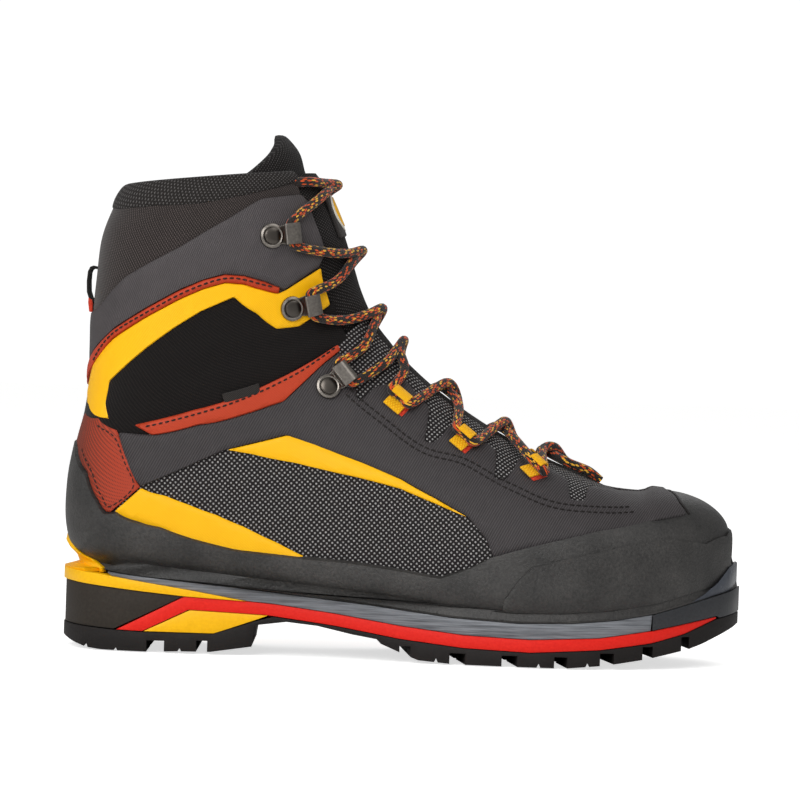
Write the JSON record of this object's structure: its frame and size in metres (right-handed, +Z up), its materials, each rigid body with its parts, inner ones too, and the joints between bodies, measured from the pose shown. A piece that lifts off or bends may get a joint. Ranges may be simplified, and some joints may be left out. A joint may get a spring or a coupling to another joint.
{
  "type": "mountaineering boot",
  "caption": "Stiff high-cut mountaineering boot: lugged sole, rubber rand, laced quarters and a cuff that flexes at the ankle.",
  "frame": {"origin": "on the ground plane under the centre of the boot's bounding box", "axes": "+X from heel to toe, +Z up, -Y to the lateral side of this right boot"},
  "size_m": [0.311, 0.1065, 0.2364],
  "materials": {
    "tread_rubber": "matte black carbon rubber",
    "heel_foam": "matte moulded dark foam rubber",
    "red_midsole": "matte moulded foam",
    "yellow_sole": "smooth moulded thermoplastic",
    "grey_plate": "brushed grey thermoplastic",
    "dark_welt": "satin rubber",
    "grey_bumper": "glossy translucent grey thermoplastic",
    "insole_board": "pressed fibreboard",
    "footbed_foam": "fabric over moulded foam",
    "lining": "waterproof membrane laminate",
    "stiffener": "thermoformed sheet",
    "microfibre": "coated microfibre",
    "dotted_mesh": "black woven mesh with raised grey dots",
    "ribbed_film": "satin film embossed with fine ribs",
    "yellow_film": "smooth satin film",
    "red_film": "satin film",
    "rand_rubber": "matte grained rubber",
    "tongue_fabric": "stretch woven",
    "dotted_fabric": "stretch knit with woven grey dots",
    "stretch_fabric": "matte fine black stretch fabric",
    "woven_fabric": "fine pique weave",
    "foam": "open-cell padding",
    "label": "woven label",
    "yellow_webbing": "narrow woven tape",
    "black_webbing": "woven tape",
    "gunmetal": "satin gunmetal plated",
    "rivet_metal": "satin nickel plated",
    "lace_cord": "round braided polyester with orange and yellow flecks"
  },
  "bodies": {
    "lower": {"outsole": "tread_rubber", "heel_block": "heel_foam", "midsole": "red_midsole", "arch_insert": "yellow_sole", "heel_welt": "yellow_sole", "sole_plate": "grey_plate", "toe_welt": "dark_welt", "toe_bumper": "grey_bumper", "insole_board": "insole_board", "footbed": "footbed_foam", "foot_lining": "lining", "toe_puff": "stiffener", "heel_counter": "stiffener", "vamp": "microfibre", "quarter_lateral": "dotted_mesh", "quarter_medial": "dotted_mesh", "overlay_lateral": "ribbed_film", "overlay_medial": "ribbed_film", "upper_flash_lateral": "yellow_film", "upper_flash_medial": "yellow_film", "lower_flash_lateral": "yellow_film", "lower_flash_medial": "yellow_film", "ankle_band_lateral": "red_film", "ankle_band_medial": "red_film", "toe_rand": "rand_rubber", "side_rand_lateral": "rand_rubber", "side_rand_medial": "rand_rubber", "heel_rand": "rand_rubber", "tongue_foot": "tongue_fabric", "lace_loops": "yellow_webbing", "lock_hooks": "gunmetal", "lock_rivets": "rivet_metal", "foot_lace": "lace_cord", "ankle_gusset": "stretch_fabric", "flex_lining": "lining", "heel_flex_panel": "red_film", "tongue_flex": "tongue_fabric", "flex_lace": "lace_cord"},
    "cuff": {"cuff_shell": "woven_fabric", "cuff_foam": "foam", "cuff_lining": "lining", "collar_band": "dotted_fabric", "cuff_overlay": "ribbed_film", "cuff_piping": "red_film", "cuff_flash_lateral": "yellow_film", "cuff_flash_medial": "yellow_film", "tongue_shaft": "tongue_fabric", "tongue_top": "dotted_fabric", "tongue_label": "label", "lace_hooks": "gunmetal", "hook_rivets": "rivet_metal", "pull_tab": "black_webbing", "cuff_lace": "lace_cord"}
  },
  "joints": [
    {"name": "ankle_flex", "type": "hinge", "parent": "lower", "child": "cuff", "pos_m": [-0.088, 0, 0.118], "axis": [0, 1, 0], "range_deg": [-5, 10], "stiffness_Nm_per_rad": 1.5, "deforming": ["ankle_gusset", "flex_lining", "heel_flex_panel", "tongue_flex", "flex_lace"]}
  ]
}
